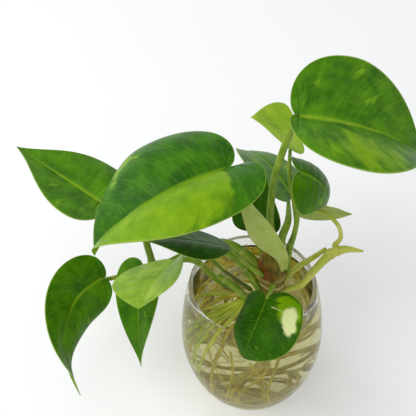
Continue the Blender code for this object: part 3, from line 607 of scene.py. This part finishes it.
coil = dict(drop=[(9.5, 4.6, 43.4, 1.6), (19, 10, 36, 1.6), (21.5, 14, 22, 1.6), (19.2, 12.9, 11.6, 1.5)],
    radius=20.5, height=9.0, start=35, turn=300)
coilTurn = np.radians(coil["start"] - coil["turn"] * np.linspace(0, 1, 14))
coilRing = np.stack([coil["radius"] * np.cos(coilTurn), coil["radius"] * 0.95 * np.sin(coilTurn),
    coil["height"] + 0 * coilTurn, 1.5 - 0.4 * np.linspace(0, 1, 14)], -1)
roots["root_coil"] = dict(knots=[*coil["drop"], *coilRing.tolist()])


def stemPiece(name, stem):
    # A round tube whose radius swells by a bell at each node ring, ripples lengthwise in fine ribs, and has
    # a shallow furrow down one side; the old stem's is lumpy too, from three slow sines.
    knots, sides = stem["knots"], stem["sides"]
    bare = smoothPath(knots, 8 * len(knots) + 16)
    start, end = np.array(stem["reach"]) / 1000
    added = []
    for row, inner, reach, steps in ((0, 1, start, (1, 0.5)), (-1, -2, end, (0.5, 1))):
        way = bare[row, :3] - bare[inner, :3]
        way = way / np.linalg.norm(way) * reach
        added.append([np.append(bare[row, :3] + way * k, bare[row, 3]) for k in steps if reach])
    path = np.vstack([*added[0], bare, *added[1]])
    place = np.linspace(0, 1, len(path))[:, None]
    turn = np.linspace(0, 2 * np.pi, sides, endpoint=False)[None, :]
    length = np.linalg.norm(np.diff(path[:, :3], axis=0), axis=1).sum()
    scar = 0 * place * turn
    shape = 1 + 0.025 * np.cos(7 * turn) + 0 * place
    for ring in stem["rings"]:
        apart = (place - ring) * length * 1000
        shape = shape + stem["swell"] * bell(apart, 1.6) - 0.05 * bell(apart - 1.8, 0.5)
        scar = scar + 0.8 * bell(apart - 1.6, 0.45)
    shape = shape - stem["groove"] * bell(turn - np.pi, 0.5)
    deep = 0 * shape
    if "eye" in stem:  # a dormant bud in its oval scar: a raised rim, a hollow and a small knob
        apart = np.hypot((place - stem["eye"][0]) * length * 1000 / stem["eye"][2],
            np.radians(np.degrees(turn) - stem["eye"][1]) * 7.5 / stem["eye"][3])
        shape = shape + 0.11 * bell(apart - 1, 0.28) - 0.10 * bell(apart, 0.7) + 0.14 * bell(apart, 0.3)
        # deep: a near-black ring in the hollow between the knob and the rim, painted shade
        deep = 0.85 * bell(apart - 0.62, 0.2)
    shape = shape + stem["lumps"] * (np.sin(place * 23 + turn) + np.sin(place * 41 - 2 * turn + 1)
        + np.sin(place * 67 + 3 * turn + 2)) / 2
    grid = tubeGrids(path[None], sides, (path[:, 3:] * shape)[None])
    low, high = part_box(name)
    own = tubeGrids(bare[None], sides)[0, 4:-4].reshape(-1, 3)
    grid = grid + (np.array(low) + np.array(high) - own.min(0) - own.max(0)) / 2
    scar, deep = (np.vstack([field[[0] * 4], field, field[[-1] * 4]]) for field in (scar, deep))
    piece = gridPiece(name + "_skin", grid, [stemSkins[stem["slot"]]], wrap=True,
        uv=tubeUv(path[None], sides), values=dict(scar=np.clip(scar, 0, 1), deep=deep))
    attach(piece, "root")
    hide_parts(name)


for stemName, stemShape in stems.items():
    stemPiece(stemName, usualStem | stemShape)
for rootName, rootShape in roots.items():
    stemPiece(rootName, usualRoot | rootShape)
print("stems, stalks and main roots made")


# the main leaf's stalk, a strap that wraps the stem

sheath = dict(knots=[(19.0, -3.6, 124, 2.0), (16.0, -6.4, 143, 3.9), (3.5, -8.6, 168, 7.2),
    (-6.0, -4.5, 189, 3.4), (-12.5, 4.5, 204, 1.6)], hollow=0.35, rib=0.00010, thickness=0.0011, reach=2.5)

# drops of water: one large on the sheath, small ones on the inside of the glass above the water
drops = dict(count=110, radius=(0.00025, 0.0007), heights=(0.0945, 0.1025), turn=(-70, 95), seed=5,
    large=0.0010)


def sheathPiece():
    # Half width times u to the side, hollowed by a parabola in u, with nine lengthwise ribs and a slow wave
    # on the edges.
    bare = smoothPath(sheath["knots"], 72)
    step = bare[-1, :3] - bare[-2, :3]
    last = np.append(bare[-1, :3] + step / np.linalg.norm(step) * sheath["reach"] / 1000, 0.0010)
    path = np.vstack([bare, last])
    along = np.gradient(path[:, :3], axis=0)
    along /= np.linalg.norm(along, axis=1)[:, None]
    side = np.cross(along, (0.3, -0.9, 0.3))
    side /= np.linalg.norm(side, axis=1)[:, None]
    face = np.cross(side, along)
    u = np.linspace(-1, 1, 41)[None, :]
    v = np.linspace(0, 1, len(path))[:, None]
    half = path[:, 3:]
    rib = sheath["rib"] * np.cos(9 * np.pi * u) * ramp(half, 0.006)
    out = sheath["hollow"] * u ** 2 * half + rib + 0.0004 * u ** 4 * np.sin(9 * v)
    grid = path[:, None, :3] + side[:, None] * (u * half)[..., None] + face[:, None] * out[..., None]
    uv = np.stack(np.broadcast_arrays(0.5 + 0.5 * u, v * 9.5), -1)
    scar = ramp(np.abs(u) - 0.93, 0.07) * 0.55 + 0 * v
    row = int(0.53 * len(path))
    place = path[row, :3] + side[row] * 0.2 * half[row] + face[row] * 0.0009
    drops["sheath"] = (place, side[row], along[row], face[row])
    piece = gridPiece("stalk_main_strap", grid, [stemSkins["sheath"]], uv=uv, values=dict(scar=scar),
        thickness=sheath["thickness"])
    piece.modifiers["thickness"].offset = 0
    piece.modifiers["thickness"].material_offset = 0
    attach(piece, "root")
    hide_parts("stalk_main")


sheathPiece()
print("sheath made")


# the glass jar and its water

jar = dict(foot=0.0235, belly=0.046, bellyHeight=0.0534, rim=0.0402, height=0.105, wall=0.0024, base=0.005,
    roundness=1.65, lip=0.0012, inset=0.0015, punt=0.0011, dome=0.0006, water=0.093, meniscus=0.0009,
    creep=0.0012, bite=0.0001, lift=0.0004)


def outerRadius(z):
    # Below the belly a rounded quarter of the given power, above it a parabola that draws in to the rim.
    low = np.clip(1 - z / jar["bellyHeight"], 0, 1)
    high = ramp(z - jar["bellyHeight"], jar["height"] - jar["bellyHeight"])
    power = jar["roundness"]
    lower = jar["foot"] + (jar["belly"] - jar["foot"]) * (1 - low ** power) ** (1 / power)
    return np.where(z <= jar["bellyHeight"], lower, jar["belly"] - (jar["belly"] - jar["rim"]) * high ** 2)


def innerRadius(z):
    # The same curve drawn in by the wall, and started at the top of the thick base.
    low = np.clip(1 - (z - jar["base"]) / (jar["bellyHeight"] - jar["base"]), 0, 1)
    foot, power = jar["foot"] - jar["inset"], jar["roundness"]
    lower = foot + (jar["belly"] - jar["wall"] - foot) * (1 - low ** power) ** (1 / power)
    return np.where(z <= jar["bellyHeight"], lower, outerRadius(z) - jar["wall"])


def turnedPiece(name, radius, height, materials, columns=128):
    # A profile of radii and heights turned round the jar's own axis, the middle of its box.
    low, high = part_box("glass_jar")
    turn = np.linspace(0, 2 * np.pi, columns, endpoint=False)
    x = (low.x + high.x) / 2 + radius[:, None] * np.cos(turn)
    y = (low.y + high.y) / 2 + radius[:, None] * np.sin(turn)
    grid = np.stack(np.broadcast_arrays(x, y, height[:, None] + low.z), -1)
    return gridPiece(name, grid, materials, wrap=True)


def clearGlass():
    # Soda-lime glass, blown in a mould: clear, colourless in thin section, with a faint warm tint where it is
    # seen edge on. Soda glass has an IOR of 1.5, which turns the thick edges black here; for the same reason
    # some of the light goes straight on.
    material, tree, shader = newMaterial("blownSodaGlass")
    place = addNode(tree, "TexCoord", output="Object")
    waves = addNode(tree, "TexNoise", dict(Vector=place, Scale=60.0, Detail=1.0))
    bump = addNode(tree, "Bump", dict(Height=waves, Strength=0.05, Distance=0.001))
    feed(tree, shader, {"Base Color": "#fbfcf7", "Transmission Weight": 1.0, "Roughness": 0.0, "IOR": 1.2,
        "Normal": bump})
    straight = addNode(tree, "BsdfTransparent", dict(Color="#fcfcf8"))
    both = addNode(tree, "MixShader", {"Fac": 0.12, 1: shader.outputs[0], 2: straight})
    feed(tree, tree.nodes["Material Output"], dict(Surface=both))
    return material


def jarWater():
    # Still tap water that roots have stood in: clear, with a slight yellow-green tint that deepens along the
    # sight line.
    material, tree, shader = newMaterial("standingWater")
    feed(tree, shader, {"Base Color": "#fdfef8", "Transmission Weight": 1.0, "Roughness": 0.0, "IOR": 1.333})
    tint = addNode(tree, "VolumeAbsorption", dict(Color="#e4dc44", Density=10.0))
    feed(tree, tree.nodes["Material Output"], dict(Volume=tint))
    return material


def jarPieces():
    rise = 0.5 - 0.5 * np.cos(np.linspace(0, np.pi / 2, 30))
    rise = rise / rise[-1]
    belly, top = jar["bellyHeight"], jar["height"] - jar["lip"]
    upper = np.linspace(belly, top, 22)[1:]
    outerHeight = np.concatenate([rise * belly, upper])
    bowl = jar["base"] + rise * (belly - jar["base"])
    innerHeight = np.concatenate([bowl, upper])
    lean = np.linspace(0, np.pi, 11)[1:-1]
    lipRadius = jar["rim"] - jar["wall"] / 2 + 0.5 * jar["wall"] * np.cos(lean)
    # the underside is pushed up a little in the middle, and the inside floor is slightly domed
    punt, dome = np.linspace(0, 0.92, 8), np.linspace(0.95, 0, 8)
    radius = np.concatenate([punt * jar["foot"], outerRadius(outerHeight), lipRadius,
        innerRadius(innerHeight)[::-1], dome * (jar["foot"] - jar["inset"])])
    height = np.concatenate([jar["punt"] * (1 - punt ** 2), outerHeight, top + jar["lip"] * np.sin(lean),
        innerHeight[::-1], jar["base"] + jar["dome"] * (1 - dome ** 2)])
    glass = turnedPiece("jar_glass_body", radius, height, [clearGlass()])
    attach(glass, "root")
    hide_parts("glass_jar")
    glass.visible_shadow = False
    glass.visible_diffuse = False
    # the water reaches a tenth of a millimetre into the glass, and climbs it by a millimetre at its edge
    depth = np.concatenate([bowl, np.linspace(belly, jar["water"] + jar["meniscus"], 16)[1:]])
    flat = 1 - np.linspace(0, 1, 20) ** 2
    surfaceRadius = (innerRadius(depth[-1:]) + jar["bite"]) * flat
    climb = jar["meniscus"] * np.exp(-(surfaceRadius[0] - surfaceRadius) / jar["creep"])
    radius = np.concatenate([[0], innerRadius(depth) + jar["bite"], surfaceRadius[1:]])
    height = np.concatenate([[jar["base"] + jar["lift"]], depth, (jar["water"] + climb)[1:]])
    water = turnedPiece("water_body", radius, height, [jarWater()])
    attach(water, "root")
    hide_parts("water")
    water.visible_shadow = False
    water.visible_diffuse = False


jarPieces()
print("jar and water made")


# the finer roots

finerRoots = dict(wall=20, loops=9, hairs=80, young=9, clear=0.0012, seed=11, wallRadius=(0.0007, 0.0013),
    hairRadius=(0.00022, 0.00042), top=(0.060, 0.086), foot=(0.0085, 0.020), loopSize=(0.008, 0.018),
    loopRadius=(0.0007, 0.0012), hairLength=(0.012, 0.042), youngRadius=(0.0010, 0.0019), youngTop=0.089,
    youngFoot=(0.022, 0.055))


def finerRootPieces():
    # Wall roots: the angle round the jar runs on evenly with a slow sine, the height falls to the floor by a
    # power, and the distance from the axis follows the inner wall. Hair roots: a start inside the jar, a
    # heading, and a bend from two sines; their distance from the axis is squeezed with tanh so that they
    # stay off the glass.
    chance = np.random.default_rng(finerRoots["seed"])
    low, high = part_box("glass_jar")
    axis = np.array([(low.x + high.x) / 2, (low.y + high.y) / 2])
    clear = finerRoots["clear"]

    def between(a, b):  # a number for each of the roots counted last
        return chance.uniform(a, b, count)[:, None]

    def roundAxis(distance, turn, height, thick):
        x, y = axis[0] + distance * np.cos(turn), axis[1] + distance * np.sin(turn)
        return np.stack([x, y, height, thick], -1)

    count, s = finerRoots["wall"], np.linspace(0, 1, 72)[None, :]
    top, foot = between(*finerRoots["top"]), between(*finerRoots["foot"])
    start, sweep = np.radians(between(100, 300)), np.radians(between(25, 110))
    turn = start + sweep * np.sign(between(-1, 1)) * s ** 1.2
    turn = turn + 0.12 * np.sin(s * between(6, 14) + between(0, 6))
    height = foot + (top - foot) * (1 - s) ** between(1.2, 2.6)
    height = height + 0.0012 * np.sin(s * between(9, 18) + between(0, 6)) * s
    thick = between(*finerRoots["wallRadius"]) * (1 - 0.45 * s)
    off = clear + thick + between(0, 0.005) + (0.012 * (1 - s) ** 3)
    wall = roundAxis(np.maximum(innerRadius(height) - off, 0.003), turn, height, thick + 0 * s)
    # loops: tilted rings of one and a bit turns that lie on the jar's floor
    count = finerRoots["loops"]
    swing = between(0, 2 * np.pi) + between(5, 8.5) * s
    size = between(*finerRoots["loopSize"]) * (1 + 0.12 * np.sin(5 * s))
    middle, away = between(0, 2 * np.pi), between(0.001, 0.009)
    height = between(0.0085, 0.018) + size * between(0.05, 0.45) * (1 + np.sin(swing + between(0, 6)))
    loop = np.stack([axis[0] + away * np.cos(middle) + size * np.cos(swing),
        axis[1] + away * np.sin(middle) + size * np.sin(swing), height,
        between(*finerRoots["loopRadius"]) * (1 - 0.3 * s)], -1)
    count, s = finerRoots["hairs"], np.linspace(0, 1, 26)[None, :]
    begin = wall[chance.integers(0, len(wall), count), chance.integers(4, 66, count)]
    heading, dip, length = between(0, 2 * np.pi), between(-0.9, 0.5), between(*finerRoots["hairLength"])
    cosine, sine = np.cos(heading), np.sin(heading)
    x, y = (begin[:, k:k + 1] + length * s * toward * np.cos(dip) + 0.003 * np.sin(s * between(3, 9)) * across
        for k, toward, across in ((0, cosine, sine), (1, sine, cosine)))
    z = np.clip(begin[:, 2:3] + length * s * np.sin(dip) + 0.002 * np.sin(s * between(4, 10)),
        jar["base"] + 0.0018, jar["water"] - 0.002)
    limit = innerRadius(z) - clear - 0.0006
    away = np.hypot(x - axis[0], y - axis[1])
    squeeze = limit * np.tanh(away / limit) / np.maximum(away, 1e-6)
    hairs = np.stack([axis[0] + (x - axis[0]) * squeeze, axis[1] + (y - axis[1]) * squeeze, z,
        between(*finerRoots["hairRadius"]) * (1 - 0.5 * s)], -1)
    # young green roots fan out from the shoots at the left, thick at the top
    count, s = finerRoots["young"], np.linspace(0, 1, 40)[None, :]
    turn, top = np.radians(between(145, 250) + between(-40, 40) * s ** 1.5), finerRoots["youngTop"]
    height = top - (top - between(*finerRoots["youngFoot"])) * s ** between(1.2, 2.0)
    thick = between(*finerRoots["youngRadius"]) * (1 - 0.6 * s)
    room = innerRadius(height) - clear - thick - 0.006
    distance = 0.006 + room * np.sin(np.minimum(s * between(1.2, 1.9), 1) * np.pi / 2)
    distance = distance + 0.0012 * np.sin(9 * s + between(0, 6)) * s * (1 - s)
    young = roundAxis(distance, turn, height, thick + 0 * s)
    for name, paths, sides, skin in (("wall_roots", wall, 12, "root"), ("loop_roots", loop, 12, "root"),
            ("hair_roots", hairs, 8, "root"), ("young_roots", young, 14, "youngRoot")):
        grids = tubeGrids(paths, sides)
        piece = gridPiece(name, grids, [stemSkins[skin]], wrap=True, uv=tubeUv(paths, sides))
        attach(piece, "root")


finerRootPieces()
print("finer roots made")


def dropPiece():
    # Each drop is a ball flattened to two fifths along the wall's direction outward.
    chance = np.random.default_rng(drops["seed"])
    low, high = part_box("glass_jar")
    count = drops["count"]
    turn = np.radians(chance.uniform(*drops["turn"], count))[:, None, None]
    height = chance.uniform(*drops["heights"], count)[:, None, None]
    size = chance.uniform(*drops["radius"], count)[:, None, None]
    lift, around = np.meshgrid(np.linspace(0, np.pi, 7), np.linspace(0, 2 * np.pi, 9)[:-1], indexing="ij")
    outward, sideways = np.sin(lift) * np.cos(around) * 0.4, np.sin(lift) * np.sin(around)
    distance = innerRadius(height) - 0.35 * size + outward * size
    x = (low.x + high.x) / 2 + distance * np.cos(turn) - sideways * size * np.sin(turn)
    y = (low.y + high.y) / 2 + distance * np.sin(turn) + sideways * size * np.cos(turn)
    piece = gridPiece("wall_drops", np.stack([x, y, low.z + height + np.cos(lift) * size], -1),
        [bpy.data.materials["standingWater"]], wrap=True)
    piece.visible_shadow = False
    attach(piece, "root")
    place, side, along, face = drops["sheath"]
    lift, around = np.meshgrid(np.linspace(0, np.pi, 13), np.linspace(0, 2 * np.pi, 17)[:-1], indexing="ij")
    ball = np.stack([np.sin(lift) * np.cos(around), 1.35 * np.sin(lift) * np.sin(around), 0.7 * np.cos(lift)],
        -1) * drops["large"]
    bead = gridPiece("sheath_drop", place + ball @ np.stack([side, along, face]),
        [bpy.data.materials["standingWater"]], wrap=True)
    bead.visible_shadow = False
    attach(bead, "root")


dropPiece()
print("drops made")
